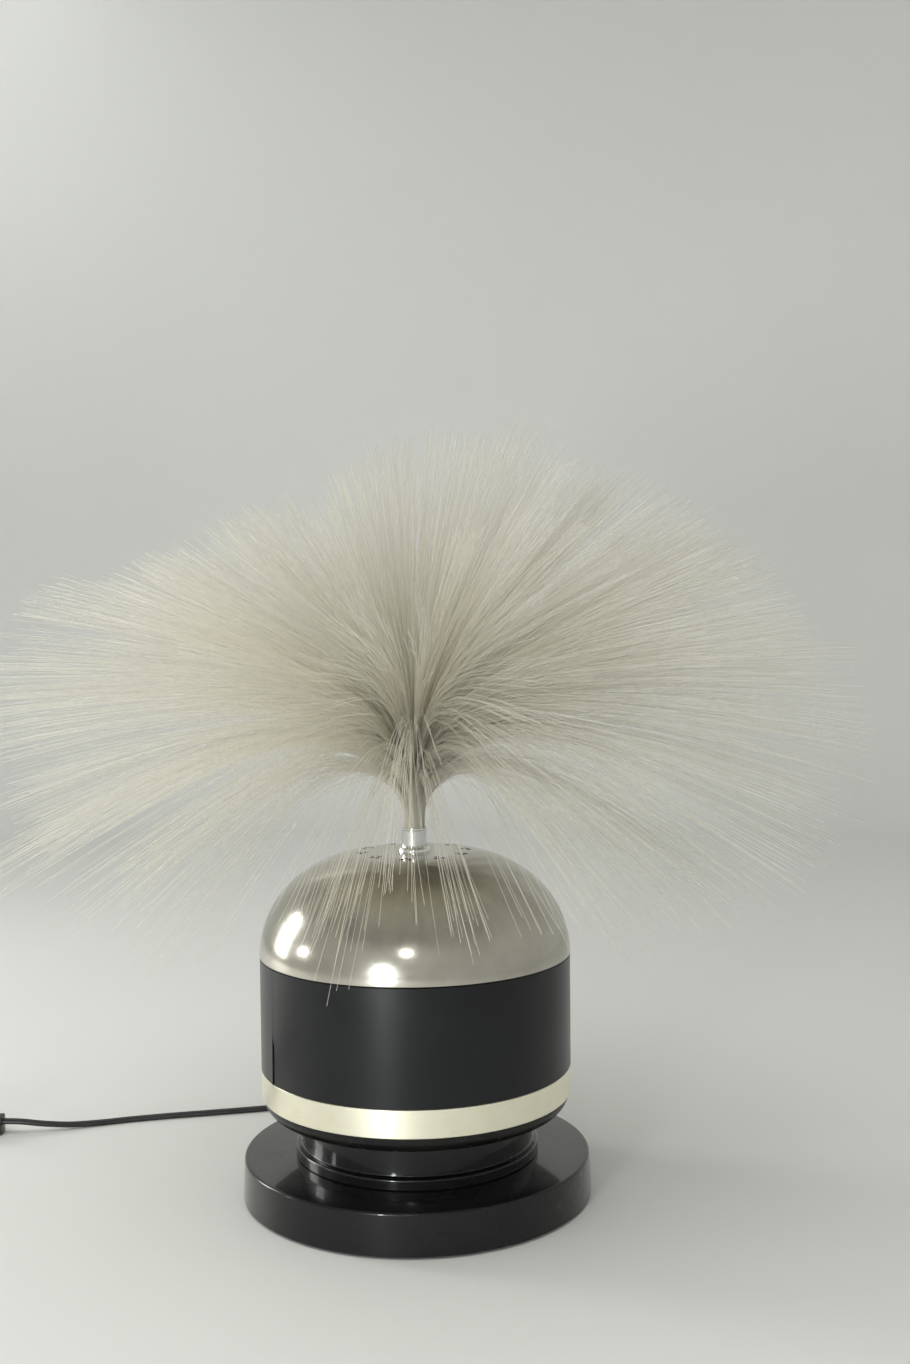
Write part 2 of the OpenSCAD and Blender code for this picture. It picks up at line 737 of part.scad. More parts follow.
module cord_tie() {
  w = 6;
  slack = 0.2;
  low = coil_z - slack;
  inner = [coil_r - coil_hole_r + 2 * slack + 0.3, w + 2, coil_h + 2 * slack];
  color("#3a3b3d") translate([coil_at[0], coil_at[1], 0]) rotate(-60) translate([coil_hole_r - slack - 0.3, -w / 2, 0])
    difference() {
      translate([-0.7, 0, 0]) cube([inner[0] + 1.4, w, low + inner[2] + 0.7]);
      translate([0, -1, low]) cube(inner);
    }
}

module plug_cord() {
  color("#202122") tube(plug_route, cord_r, 2, 8);
}

// A flat two-pin plug that lies on its side, with its pins towards -Y
module plug_body() {
  outline = [[-5, 0], [5, 0], [8, -8], [17.6, -20], [17.6, -31], [15, -35.5], [-15, -35.5], [-17.6, -31],
    [-17.6, -20], [-8, -8]];
  color("#1d1e20") translate([plug_at[0], plug_at[1], 0]) linear_extrude(plug_h) polygon(outline);
}

module plug_pins() {
  color("#d5d8db") for (s = [-1, 1])
    translate([plug_at[0] + s * pin_gap / 2, plug_at[1] - 35.5, plug_h / 2]) rotate([90, 0, 0])
      cylinder(h = 19, r = 2);
}

base_disc();
base_plate();
base_screws();
rubber_feet();
neck();
centre_tube();
tube_washers();
tube_nuts();
body_can();
body_wrap();
gold_band();
chassis_plate();
chassis_spacers();
chassis_screws();
chassis_nuts();
lampholder();
holder_nipple();
holder_nut();
bulb_cap();
bulb_glass();
bulb_filament();
light_shield();
motor_bracket();
panel_screws();
motor_case();
motor_cover();
output_bush();
motor_screws();
drive_shaft();
wheel_spider();
hub_screw();
filter_red();
filter_amber();
filter_green();
filter_blue();
terminal_block();
terminal_screws();
lamp_leads();
motor_leads();
inner_lead();
cord_clamp();
dome();
collar();
collar_nut();
bundle_sleeve();
fibre_spray();
cord_bush();
cord_to_switch();
switch_base();
switch_cover();
switch_rocker();
rocker_pin();
switch_screws();
cord_to_coil();
cord_coil();
cord_tie();
plug_cord();
plug_body();
plug_pins();
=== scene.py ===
"""A fibre optic fountain lamp on a pale table: the visual model and the studio round it."""
import math

import bmesh
import bpy
import numpy as np
from mathutils import Matrix, Vector


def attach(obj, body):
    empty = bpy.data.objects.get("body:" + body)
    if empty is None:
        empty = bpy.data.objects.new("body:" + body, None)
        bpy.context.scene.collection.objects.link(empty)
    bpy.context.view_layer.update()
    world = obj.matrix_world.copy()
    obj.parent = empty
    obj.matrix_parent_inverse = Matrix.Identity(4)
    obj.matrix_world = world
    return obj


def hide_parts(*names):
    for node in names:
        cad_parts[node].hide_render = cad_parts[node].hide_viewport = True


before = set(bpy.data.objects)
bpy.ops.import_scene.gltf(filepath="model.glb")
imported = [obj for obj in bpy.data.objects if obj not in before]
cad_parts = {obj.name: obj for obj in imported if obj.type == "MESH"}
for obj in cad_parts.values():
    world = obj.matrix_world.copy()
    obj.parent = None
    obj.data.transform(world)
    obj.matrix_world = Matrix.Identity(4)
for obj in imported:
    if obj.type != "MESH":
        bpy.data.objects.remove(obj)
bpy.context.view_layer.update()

MM = 0.001


# ---------------------------------------------------------------- camera
CAMERA_AT = (0, -0.8668, 0.3322)
CAMERA_YAW, CAMERA_PITCH, CAMERA_ROLL = 1.638, 2.382, -0.595
CAMERA_LENS = 39.59


def make_camera():
    """The photograph's camera: a normal lens a little above the dome, 0.87 m from the lamp's axis."""
    yaw, pitch, roll = math.radians(CAMERA_YAW), math.radians(CAMERA_PITCH), math.radians(CAMERA_ROLL)
    ahead = Vector((math.sin(yaw) * math.cos(pitch), math.cos(yaw) * math.cos(pitch), -math.sin(pitch)))
    right = Vector((math.cos(yaw), -math.sin(yaw), 0))
    up = right.cross(ahead)
    r = right * math.cos(roll) + up * math.sin(roll)
    u = up * math.cos(roll) - right * math.sin(roll)
    data = bpy.data.cameras.new("camera")
    data.sensor_fit = "AUTO"
    data.sensor_width = 36
    data.lens = CAMERA_LENS
    data.clip_start = 0.02
    data.clip_end = 30
    cam = bpy.data.objects.new("camera", data)
    bpy.context.scene.collection.objects.link(cam)
    m = Matrix((r, u, -ahead)).transposed().to_4x4()
    m.translation = Vector(CAMERA_AT)
    cam.matrix_world = m
    bpy.context.scene.camera = cam


make_camera()


# ---------------------------------------------------------------- node material helpers
def new_material(name):
    mat = bpy.data.materials.new(name)
    mat.use_nodes = True
    nodes = mat.node_tree.nodes
    return mat, nodes, mat.node_tree.links, nodes["Principled BSDF"]


def coords(nodes, links, scale=(1, 1, 1)):
    tex = nodes.new("ShaderNodeTexCoord")
    mapping = nodes.new("ShaderNodeMapping")
    mapping.inputs["Scale"].default_value = scale
    links.new(tex.outputs["Object"], mapping.inputs["Vector"])
    return mapping.outputs["Vector"]


def noise(nodes, links, vector, scale, detail=4.0, rough=0.55):
    n = nodes.new("ShaderNodeTexNoise")
    n.inputs["Scale"].default_value = scale
    n.inputs["Detail"].default_value = detail
    n.inputs["Roughness"].default_value = rough
    links.new(vector, n.inputs["Vector"])
    return n.outputs["Fac"]


def ramp(nodes, links, fac, stops):
    r = nodes.new("ShaderNodeValToRGB")
    e = r.color_ramp.elements
    while len(e) < len(stops):
        e.new(0.5)
    for el, (pos, col) in zip(e, stops):
        el.position = pos
        el.color = (*col, 1) if len(col) == 3 else col
    links.new(fac, r.inputs["Fac"])
    return r.outputs["Color"]


def grey(v):
    return (v, v, v)


def bump(nodes, links, bsdf, height, strength, distance, normal=None):
    b = nodes.new("ShaderNodeBump")
    b.inputs["Strength"].default_value = strength
    b.inputs["Distance"].default_value = distance
    links.new(height, b.inputs["Height"])
    if normal is not None:
        links.new(normal, b.inputs["Normal"])
    links.new(b.outputs["Normal"], bsdf.inputs["Normal"])
    return b.outputs["Normal"]


def basic(name, dark, light, rough=(0.3, 0.45), metallic=0.0, scale=120.0, bump_scale=900.0, bump_strength=0.1,
          bump_distance=0.00005, coat=0.0, ior=1.5, stretch=(1, 1, 1), alpha=1.0):
    """A material whose colour and roughness vary a little, with a fine bump."""
    mat, nodes, links, bsdf = new_material(name)
    v = coords(nodes, links, stretch)
    big = noise(nodes, links, v, scale)
    fine = noise(nodes, links, v, bump_scale, 3.0)
    links.new(ramp(nodes, links, big, [(0.3, dark), (0.7, light)]), bsdf.inputs["Base Color"])
    links.new(ramp(nodes, links, big, [(0.3, grey(rough[0])), (0.7, grey(rough[1]))]), bsdf.inputs["Roughness"])
    bsdf.inputs["Metallic"].default_value = metallic
    bsdf.inputs["IOR"].default_value = ior
    bsdf.inputs["Coat Weight"].default_value = coat
    bsdf.inputs["Coat Roughness"].default_value = 0.05
    bsdf.inputs["Alpha"].default_value = alpha
    bump(nodes, links, bsdf, fine, bump_strength, bump_distance)
    return mat


def dust(nodes, links, v, amount, low=0.55, high=0.75, scale=2600.0):
    """Small pale specks: a mask from 0 to amount."""
    n = noise(nodes, links, v, scale, 2.0, 0.6)
    return ramp(nodes, links, n, [(low, grey(0)), (high, grey(amount))])


def mix_color(nodes, links, fac, a, b):
    m = nodes.new("ShaderNodeMix")
    m.data_type = "RGBA"
    for socket, value in ((m.inputs[0], fac), (m.inputs[6], a), (m.inputs[7], b)):
        if isinstance(value, (int, float)):
            socket.default_value = value
        elif isinstance(value, tuple):
            socket.default_value = (*value, 1)
        else:
            links.new(value, socket)
    return m.outputs[2]


def nickel_material():
    mat, nodes, links, bsdf = new_material("nickel_plate")
    v = coords(nodes, links)
    big = noise(nodes, links, v, 22.0, 5.0)
    swirl = noise(nodes, links, coords(nodes, links, (1, 1, 14)), 160.0, 4.0)
    cloud = noise(nodes, links, coords(nodes, links, (1, 1, 0.6)), 55.0, 6.0, 0.65)
    col = ramp(nodes, links, big, [(0.3, (0.47, 0.452, 0.392)), (0.7, (0.58, 0.558, 0.492))])
    col = mix_color(nodes, links, ramp(nodes, links, cloud, [(0.45, grey(0)), (0.75, grey(0.55))]), col,
                    (0.40, 0.375, 0.31))
    links.new(mix_color(nodes, links, dust(nodes, links, v, 0.25, 0.64, 0.8), col, (0.6, 0.58, 0.52)),
              bsdf.inputs["Base Color"])
    links.new(ramp(nodes, links, swirl, [(0.3, grey(0.14)), (0.75, grey(0.21))]), bsdf.inputs["Roughness"])
    bsdf.inputs["Metallic"].default_value = 1.0
    bump(nodes, links, bsdf, swirl, 0.05, 0.00008)
    return mat


def chrome_material():
    mat, nodes, links, bsdf = new_material("bright_chrome")
    v = coords(nodes, links)
    n = noise(nodes, links, v, 300.0)
    links.new(ramp(nodes, links, n, [(0.3, grey(0.72)), (0.7, grey(0.82))]), bsdf.inputs["Base Color"])
    links.new(ramp(nodes, links, n, [(0.3, grey(0.05)), (0.7, grey(0.10))]), bsdf.inputs["Roughness"])
    bsdf.inputs["Metallic"].default_value = 1.0
    return mat


def gloss_black_material():
    """Polished black moulding with faint handling marks and a little dust."""
    mat, nodes, links, bsdf = new_material("gloss_black")
    v = coords(nodes, links)
    big = noise(nodes, links, v, 30.0, 5.0)
    specks = dust(nodes, links, v, 0.3, 0.70, 0.8, 1500.0)
    links.new(mix_color(nodes, links, specks, (0.0035, 0.0037, 0.0045), (0.05, 0.05, 0.048)),
              bsdf.inputs["Base Color"])
    links.new(ramp(nodes, links, big, [(0.3, grey(0.22)), (0.75, grey(0.30))]), bsdf.inputs["Roughness"])
    bsdf.inputs["IOR"].default_value = 1.30
    bsdf.inputs["Coat Weight"].default_value = 0.8
    bsdf.inputs["Coat IOR"].default_value = 1.30
    bsdf.inputs["Coat Roughness"].default_value = 0.04
    bump(nodes, links, bsdf, noise(nodes, links, v, 60.0, 3.0), 0.04, 0.0003)
    return mat


def wrap_material():
    """Dark laminated sheet with a very fine upright grain and a satin surface."""
    mat, nodes, links, bsdf = new_material("dark_wrap")
    v = coords(nodes, links)
    big = noise(nodes, links, v, 26.0, 5.0)
    grain = noise(nodes, links, coords(nodes, links, (1, 1, 0.12)), 1400.0, 3.0)
    base = ramp(nodes, links, big, [(0.3, (0.0035, 0.004, 0.0048)), (0.7, (0.006, 0.0068, 0.0078))])
    specks = dust(nodes, links, v, 0.25, 0.72, 0.8, 1900.0)
    links.new(mix_color(nodes, links, specks, base, (0.05, 0.05, 0.048)), bsdf.inputs["Base Color"])
    links.new(ramp(nodes, links, big, [(0.3, grey(0.31)), (0.75, grey(0.37))]), bsdf.inputs["Roughness"])
    bsdf.inputs["IOR"].default_value = 1.36
    bsdf.inputs["Coat Weight"].default_value = 0.12
    bsdf.inputs["Coat IOR"].default_value = 1.3
    bsdf.inputs["Coat Roughness"].default_value = 0.08
    first = bump(nodes, links, bsdf, grain, 0.08, 0.00005)
    bump(nodes, links, bsdf, noise(nodes, links, v, 38.0, 2.0), 0.12, 0.0005, first)
    return mat


def gold_material():
    """Pale anodised gold strip, brushed round the drum."""
    mat, nodes, links, bsdf = new_material("gold_strip")
    brushed = noise(nodes, links, coords(nodes, links, (1, 1, 30)), 90.0, 4.0)
    big = noise(nodes, links, coords(nodes, links), 40.0, 4.0)
    links.new(ramp(nodes, links, big, [(0.3, (0.90, 0.87, 0.69)), (0.7, (0.96, 0.935, 0.77))]),
              bsdf.inputs["Base Color"])
    links.new(ramp(nodes, links, brushed, [(0.3, grey(0.27)), (0.7, grey(0.33))]), bsdf.inputs["Roughness"])
    bsdf.inputs["Metallic"].default_value = 1.0
    bump(nodes, links, bsdf, brushed, 0.05, 0.00002)
    return mat


def fibre_material(name, near, far, tip):
    """Clear acrylic fibre: its colour shifts from the bundle to the tips and is lightest at the bundle, painted
    light against the shade inside the dense bundle, and each tuft has its own tone.
    """
    mat, nodes, links, bsdf = new_material(name)
    tex = nodes.new("ShaderNodeTexCoord")
    away = nodes.new("ShaderNodeVectorMath")
    away.operation = "DISTANCE"
    away.inputs[1].default_value = (0, 0, 0.225)
    links.new(tex.outputs["Object"], away.inputs[0])
    span = nodes.new("ShaderNodeMath")
    span.operation = "MULTIPLY"
    span.inputs[1].default_value = 3.8
    links.new(away.outputs["Value"], span.inputs[0])
    # the first colour, at the bundle, is the lightest: painted light against the shade inside the dense bundle
    col = ramp(nodes, links, span.outputs[0], [(0.03, near), (0.35, far), (0.95, tip)])
    tint = nodes.new("ShaderNodeAttribute")
    tint.attribute_name = "tone"
    shade = ramp(nodes, links, tint.outputs["Fac"], [(0.0, grey(0.78)), (1.0, grey(1.0))])
    m = nodes.new("ShaderNodeMix")
    m.data_type = "RGBA"
    m.blend_type = "MULTIPLY"
    m.inputs[0].default_value = 1.0
    links.new(col, m.inputs[6])
    links.new(shade, m.inputs[7])
    links.new(m.outputs[2], bsdf.inputs["Base Color"])
    bsdf.inputs["Roughness"].default_value = 0.28
    bsdf.inputs["IOR"].default_value = 1.49
    through = nodes.new("ShaderNodeBsdfTranslucent")
    links.new(m.outputs[2], through.inputs["Color"])
    both = nodes.new("ShaderNodeMixShader")
    both.inputs[0].default_value = 0.55
    clear = nodes.new("ShaderNodeBsdfTransparent")
    faint = nodes.new("ShaderNodeMixShader")
    faint.inputs[0].default_value = 0.36
    links.new(bsdf.outputs[0], both.inputs[1])
    links.new(through.outputs[0], both.inputs[2])
    links.new(both.outputs[0], faint.inputs[1])
    links.new(clear.outputs[0], faint.inputs[2])
    links.new(faint.outputs[0], nodes["Material Output"].inputs["Surface"])
    return mat


def glass_material():
    mat, nodes, links, bsdf = new_material("bulb_clear")
    n = noise(nodes, links, coords(nodes, links), 80.0)
    links.new(ramp(nodes, links, n, [(0.3, grey(0.02)), (0.7, grey(0.06))]), bsdf.inputs["Roughness"])
    bsdf.inputs["Base Color"].default_value = (0.95, 0.97, 0.97, 1)
    bsdf.inputs["Transmission Weight"].default_value = 1.0
    bsdf.inputs["IOR"].default_value = 1.45
    return mat


def film_material(name, dark, light):
    mat, nodes, links, bsdf = new_material(name)
    n = noise(nodes, links, coords(nodes, links), 150.0)
    links.new(ramp(nodes, links, n, [(0.3, dark), (0.7, light)]), bsdf.inputs["Base Color"])
    bsdf.inputs["Roughness"].default_value = 0.12
    bsdf.inputs["Transmission Weight"].default_value = 0.6
    bsdf.inputs["Alpha"].default_value = 0.85
    return mat


NICKEL = nickel_material()
CHROME = chrome_material()
GLOSS = gloss_black_material()
WRAP = wrap_material()
GOLD = gold_material()
CAN = basic("can_paint", (0.005, 0.005, 0.005), (0.010, 0.0095, 0.009), (0.22, 0.34), 0.0, 40, 700, 0.12, ior=1.34)
# the first fibre colour, at the bundle, is lightened as painted light against the bundle's own shade
FIBRE = fibre_material("fibre", (0.985, 0.96, 0.86), (0.975, 0.95, 0.85), (0.96, 0.94, 0.865))
ZINC = basic("zinc_steel", (0.45, 0.46, 0.47), (0.60, 0.61, 0.62), (0.28, 0.42), 1.0, 200, 1500)
SHEET = basic("chassis_sheet", (0.58, 0.59, 0.60), (0.68, 0.69, 0.70), (0.30, 0.42), 1.0, 60, 1200,
              stretch=(1, 12, 1))
BRASS = basic("turned_brass", (0.58, 0.42, 0.18), (0.72, 0.55, 0.27), (0.22, 0.35), 1.0, 150, 1400)
RUBBER = basic("foot_rubber", (0.018, 0.018, 0.018), (0.035, 0.034, 0.033), (0.7, 0.85), 0.0, 150, 900, 0.3, 0.0001)
BAKELITE = basic("bakelite", (0.020, 0.014, 0.011), (0.035, 0.025, 0.019), (0.18, 0.3), 0.0, 90, 900)
NYLON = basic("natural_nylon", (0.62, 0.59, 0.50), (0.74, 0.71, 0.62), (0.42, 0.55), 0.0, 120, 900, 0.15)
SPIDER = basic("wheel_frame", (0.03, 0.03, 0.033), (0.05, 0.05, 0.054), (0.4, 0.55), 0.3, 120, 1100, 0.2)
TUNGSTEN = basic("tungsten", (0.15, 0.15, 0.155), (0.28, 0.28, 0.285), (0.3, 0.45), 1.0, 400, 2500)
CORD = basic("cord_pvc", (0.012, 0.012, 0.012), (0.022, 0.022, 0.021), (0.36, 0.48), 0.0, 90, 1800, 0.18, 0.00006)
SWITCH = basic("switch_shell", (0.014, 0.014, 0.015), (0.024, 0.024, 0.025), (0.30, 0.42), 0.0, 110, 2600, 0.35,
               0.00006)
BLUE = basic("lead_blue", (0.03, 0.09, 0.28), (0.05, 0.13, 0.36), (0.35, 0.5), 0.0, 100, 1500)
BROWN = basic("lead_brown", (0.11, 0.045, 0.02), (0.16, 0.07, 0.03), (0.35, 0.5), 0.0, 100, 1500)
GLASS = glass_material()
FILMS = {
    "filter_red": film_material("film_red", (0.62, 0.01, 0.015), (0.80, 0.03, 0.03)),
    "filter_amber": film_material("film_amber", (0.80, 0.36, 0.01), (0.95, 0.50, 0.04)),
    "filter_green": film_material("film_green", (0.02, 0.33, 0.08), (0.05, 0.48, 0.14)),
    "filter_blue": film_material("film_blue", (0.02, 0.08, 0.5), (0.05, 0.15, 0.68)),
}

BY_NODE = {
    "base_plate": ZINC, "base_screws": ZINC, "rubber_feet": RUBBER, "centre_tube": BRASS, "tube_washers": ZINC,
    "tube_nuts": ZINC, "chassis_plate": SHEET, "chassis_spacers": ZINC, "chassis_screws": ZINC,
    "chassis_nuts": ZINC, "lampholder": BAKELITE, "holder_nipple": BRASS, "holder_nut": ZINC, "bulb_cap": BRASS,
    "bulb_glass": GLASS, "bulb_filament": TUNGSTEN, "light_shield": SHEET, "motor_bracket": SHEET,
    "panel_screws": ZINC, "motor_case": ZINC, "motor_cover": ZINC, "output_bush": BRASS, "motor_screws": ZINC,
    "drive_shaft": CHROME, "wheel_spider": SPIDER, "hub_screw": ZINC, "terminal_block": NYLON,
    "terminal_screws": BRASS, "lamp_leads": BLUE, "motor_leads": BROWN, "inner_lead": CORD, "cord_clamp": NYLON,
    "collar_nut": ZINC, "bundle_sleeve": CHROME, "rocker_pin": CHROME, "switch_screws": ZINC,
    "plug_pins": CHROME, "body_can": CAN, "neck": GLOSS, "base_disc": GLOSS, "body_wrap": WRAP, "gold_band": GOLD,
    "dome": NICKEL, "collar": CHROME, "fibre_spray": FIBRE, "cord_bush": CORD, "cord_to_switch": CORD,
    "switch_base": SWITCH, "switch_cover": SWITCH, "switch_rocker": SWITCH, "cord_to_coil": CORD,
    "cord_coil": CORD, "cord_tie": CORD, "plug_cord": CORD, "plug_body": CORD, **FILMS,
}
for node_name, material in BY_NODE.items():
    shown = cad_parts[node_name]
    shown.data.materials.clear()
    shown.data.materials.append(material)


# ---------------------------------------------------------------- mesh helpers
def new_object(name, verts, faces, material, smooth=True):
    mesh = bpy.data.meshes.new(name)
    mesh.from_pydata([tuple(v) for v in verts], [], [tuple(f) for f in faces])
    mesh.update()
    if smooth:
        mesh.shade_smooth()
    mesh.materials.append(material)
    obj = bpy.data.objects.new(name, mesh)
    bpy.context.scene.collection.objects.link(obj)
    return obj


def face_outwards(obj):
    """Turns every face of a closed mesh outwards."""
    bm = bmesh.new()
    bm.from_mesh(obj.data)
    bmesh.ops.recalc_face_normals(bm, faces=bm.faces)
    bm.to_mesh(obj.data)
    bm.free()
    return obj


def sharpen(obj, degrees=32):
    """Smooth shading with real edges kept sharp."""
    mesh = obj.data
    bm = bmesh.new()
    bm.from_mesh(mesh)
    limit = math.radians(degrees)
    for e in bm.edges:
        e.smooth = len(e.link_faces) == 2 and e.calc_face_angle(0) < limit
    for f in bm.faces:
        f.smooth = True
    bm.to_mesh(mesh)
    bm.free()
    return obj


def arc(cx, cz, r, a0, a1, n):
    return [(cx + r * math.cos(math.radians(a0 + (a1 - a0) * i / n)),
             cz + r * math.sin(math.radians(a0 + (a1 - a0) * i / n))) for i in range(n + 1)]


def lathe(name, profile, material, segments=256, closed=True, at=(0, 0, 0), axis="z"):
    """Turns a profile of (radius, height) in mm about an axis."""
    verts, faces = [], []
    rings = []
    for r, z in profile:
        if r < 1e-6:
            rings.append([len(verts)] * segments)
            verts.append((0, 0, z * MM))
        else:
            rings.append(list(range(len(verts), len(verts) + segments)))
            for k in range(segments):
                a = 2 * math.pi * k / segments
                verts.append((r * MM * math.cos(a), r * MM * math.sin(a), z * MM))
    n = len(profile)
    for i in range(n if closed else n - 1):
        a, b = rings[i], rings[(i + 1) % n]
        if a[0] == a[1] and b[0] == b[1]:
            continue
        for k in range(segments):
            j = (k + 1) % segments
            f = [a[k], a[j], b[j], b[k]]
            out = [x for m, x in enumerate(f) if x not in f[:m]]
            if len(out) >= 3:
                faces.append(out)
    turned = {"z": lambda p: p, "y": lambda p: (p[0], p[2], -p[1])}[axis]
    verts = [tuple(c + o * MM for c, o in zip(turned(v), at)) for v in verts]
    obj = new_object(name, verts, faces, material)
    return sharpen(face_outwards(obj))


def cut(obj, cutters):
    """Cuts the cutters out of obj and removes them."""
    bpy.context.view_layer.objects.active = obj
    for c in cutters:
        m = obj.modifiers.new("cut", "BOOLEAN")
        m.operation = "DIFFERENCE"
        m.solver = "EXACT"
        m.object = c
    deps = bpy.context.evaluated_depsgraph_get()
    mesh = bpy.data.meshes.new_from_object(obj.evaluated_get(deps))
    obj.modifiers.clear()
    old = obj.data
    obj.data = mesh
    bpy.data.meshes.remove(old)
    for c in cutters:
        bpy.data.objects.remove(c)
    return obj


def join(name, objs):
    bpy.ops.object.select_all(action="DESELECT")
    for o in objs:
        o.select_set(True)
    bpy.context.view_layer.objects.active = objs[0]
    bpy.ops.object.join()
    objs[0].name = name
    return objs[0]


def bevelled(obj, width, segments=3, angle=35):
    """Rounds the edges of a mesh made in code."""
    m = obj.modifiers.new("round", "BEVEL")
    m.width = width
    m.segments = segments
    m.limit_method = "ANGLE"
    m.angle_limit = math.radians(angle)
    m.harden_normals = False
    deps = bpy.context.evaluated_depsgraph_get()
    mesh = bpy.data.meshes.new_from_object(obj.evaluated_get(deps))
    obj.modifiers.clear()
    obj.data = mesh
    return sharpen(obj, 40)


def prism(name, outline, z0, z1, material):
    """An outline in mm, upright from z0 to z1."""
    n = len(outline)
    verts = [(x * MM, y * MM, z * MM) for z in (z0, z1) for x, y in outline]
    faces = [tuple(range(n))[::-1], tuple(range(n, 2 * n))]
    faces += [(i, (i + 1) % n, n + (i + 1) % n, n + i) for i in range(n)]
    obj = new_object(name, verts, faces, material, smooth=False)
    return obj


# ---------------------------------------------------------------- cord
def catmull(points, steps):
    """A smooth curve through the points, as an array."""
    p = np.array(points, float)
    p = np.vstack([2 * p[0] - p[1], p, 2 * p[-1] - p[-2]])
    out = []
    for i in range(1, len(p) - 2):
        for k in range(steps):
            u = k / steps
            a, b, c, d = p[i - 1], p[i], p[i + 1], p[i + 2]
            out.append(0.5 * (2 * b + (c - a) * u + (2 * a - 5 * b + 4 * c - d) * u * u
                              + (3 * b - a - 3 * c + d) * u ** 3))
    out.append(p[-2])
    return np.array(out)


def even(points, step):
    """The same line with points at an even distance."""
    seg = np.linalg.norm(np.diff(points, axis=0), axis=1)
    s = np.concatenate([[0], np.cumsum(seg)])
    t = np.linspace(0, s[-1], max(2, int(round(s[-1] / step)) + 1))
    return np.stack([np.interp(t, s, points[:, k]) for k in range(3)], axis=1), s[-1]


LIFT = 1.62
NEAR = [
    (0, 94, 38.5), (0, 103, 38.3), (-1, 112, 36.2), (-4, 121, 31.8), (-10, 130, 25.6), (-18.5, 138, 18.3),
    (-30, 144.5, 11), (-44, 149, 5.4), (-60, 150.5, 2.3), (-80, 148, LIFT), (-101, 144, LIFT), (-124, 139.5, LIFT),
    (-146, 135.5, LIFT), (-168, 131.5, LIFT), (-190, 126.5, LIFT), (-210, 120.5, 1.8), (-228, 114.5, 2.9),
    (-244, 110.2, 5.2), (-258, 108.3, 7.5), (-270, 108, 8.2),
]
FAR = [(-338, 108, 8.2), (-347, 108, 7.6), (-357, 108, 5.9), (-367, 108, 4.3)]
COIL_X, COIL_Y = -376.0, 73.0


def coil_line():
    """Seven and a quarter flat turns wound inwards on the table and back outwards on top of them."""
    pts, turns = [], 7.25
    r_out, pitch = 35.0, 3.32
    for i in range(int(turns * 30) + 1):
        t = i / 30
        half = turns / 2
        r = r_out - pitch * (t if t < half else turns - t)
        blend = min(1, max(0, (t - half + 0.28) / 0.56))
        z = 3.6 + (9.1 - 3.6) * (3 * blend ** 2 - 2 * blend ** 3)
        a = math.radians(90 + 360 * t)
        pts.append((COIL_X + r * math.cos(a), COIL_Y + r * math.sin(a), z))
    return pts


TAIL = [(-411, 62, 8.9), (-411, 52, 8.2), (-411, 42, 7.2), (-411, 31, 6.85)]
near_line = catmull(NEAR, 6)
far_line = catmull(FAR + coil_line() + TAIL, 4)
whole = np.vstack([near_line, far_line])
line, cord_length = even(whole, 1.9)
line *= MM
cord_length *= MM


def flat_cord(name, path, wide_at, material):
    """A flat two-core cord: two round cores side by side with a groove between them."""
    outline = []
    for cx, a0, a1 in ((1.1, -133, 133), (-1.1, 47, 313)):
        for i in range(9):
            a = math.radians(a0 + (a1 - a0) * i / 8)
            outline.append((cx + 1.6 * math.cos(a), 1.6 * math.sin(a)))
    n = len(outline)
    tangents = np.gradient(path, axis=0)
    tangents /= np.linalg.norm(tangents, axis=1)[:, None]
    verts = []
    for p, t, w in zip(path, tangents, wide_at):
        side = w - t * np.dot(w, t)
        side /= np.linalg.norm(side)
        other = np.cross(t, side)
        for u, v in outline:
            verts.append(p + MM * (u * side + v * other))
    faces = []
    for i in range(len(path) - 1):
        for k in range(n):
            j = (k + 1) % n
            faces.append((i * n + k, i * n + j, (i + 1) * n + j, (i + 1) * n + k))
    faces.append(tuple(range(n))[::-1])
    faces.append(tuple((len(path) - 1) * n + k for k in range(n)))
    obj = new_object(name, verts, faces, material)
    return face_outwards(obj)


def wide_directions(path):
    """The cord lies flat on the table, and turns onto its edge between the switch and the coil."""
    out = []
    for i, p in enumerate(path):
        t = path[min(i + 1, len(path) - 1)] - path[max(i - 1, 0)]
        flat = np.array([-t[1], t[0], 0.0])
        flat /= np.linalg.norm(flat) + 1e-12
        x = p[0] / MM
        upright = min(1, max(0, (-334 - x) / 26)) if x > -365 or p[1] / MM > 100 and x > -366 else 1
        if p[1] / MM < 60 and abs(x + 411) < 1.2:
            upright = min(1, max(0, (p[1] / MM - 38) / 18))
        ang = math.radians(90 * upright)
        out.append(flat * math.cos(ang) + np.array([0, 0, 1.0]) * math.sin(ang))
    return out


cord = flat_cord("mains_cord", line, wide_directions(line), CORD)
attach(cord, "lamp")
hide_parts("cord_to_switch", "cord_to_coil", "cord_coil", "plug_cord")


def ribbon_loop(name, inner, outer, width, place, material):
    """A flat band bent into a rounded rectangle, such as a cord tie."""
    def rounded(w, h, r, n=6):
        pts = []
        for cx, cz, a0 in ((w - r, h - r, 0), (-w + r, h - r, 90), (-w + r, -h + r, 180), (w - r, -h + r, 270)):
            pts += arc(cx, cz, r, a0, a0 + 90, n)
        return pts
    a, b = rounded(*inner), rounded(*outer)
    n = len(a)
    verts, faces = [], []
    for y in (-width / 2, width / 2):
        for ringpts in (a, b):
            verts += [place @ Vector((x * MM, y * MM, z * MM)) for x, z in ringpts]
    for i in range(n):
        j = (i + 1) % n
        faces += [(i, j, n + j, n + i), (2 * n + i, 3 * n + i, 3 * n + j, 2 * n + j),
                  (n + i, n + j, 3 * n + j, 3 * n + i), (i, 2 * n + i, 2 * n + j, j)]
    return sharpen(new_object(name, verts, faces, material))


